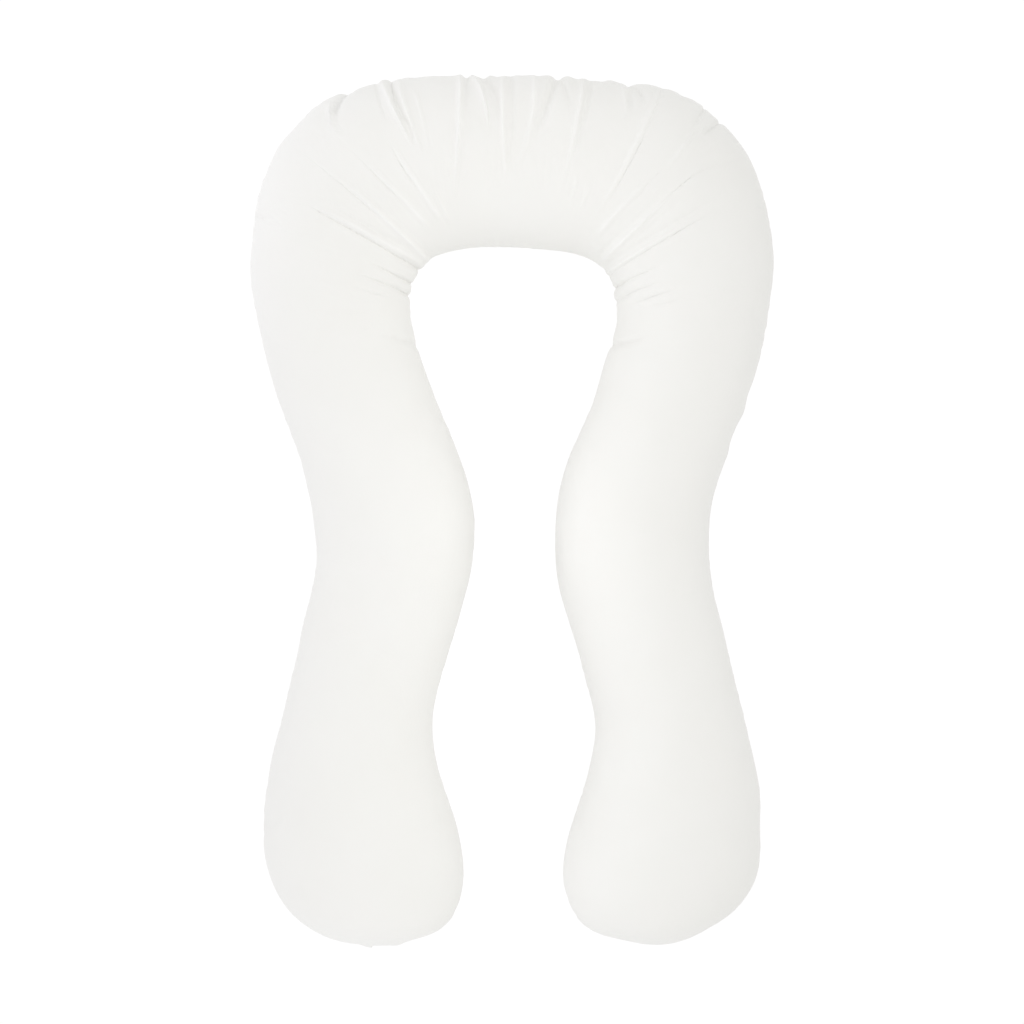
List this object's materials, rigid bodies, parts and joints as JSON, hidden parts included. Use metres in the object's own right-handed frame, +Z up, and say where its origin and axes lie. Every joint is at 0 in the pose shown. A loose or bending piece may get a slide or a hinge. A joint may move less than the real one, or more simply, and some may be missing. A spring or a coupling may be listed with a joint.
{
  "type": "U-shaped body pillow",
  "caption": "Full-length U-shaped body pillow with a gathered crown, a drawn-in waist on each leg and round feet, lying face up on its flattened underside.",
  "frame": {"origin": "on the surface that the pillow lies on, under the middle of its box", "axes": "+Z up out of the pillow's face, +Y towards the closed crown of the U, -Y towards its two feet, +X towards its right leg"},
  "size_m": [0.8694, 1.4508, 0.194],
  "materials": {
    "cotton": "matte off-white smooth cotton"
  },
  "bodies": {
    "root": {"pillow": "cotton"}
  },
  "joints": []
}
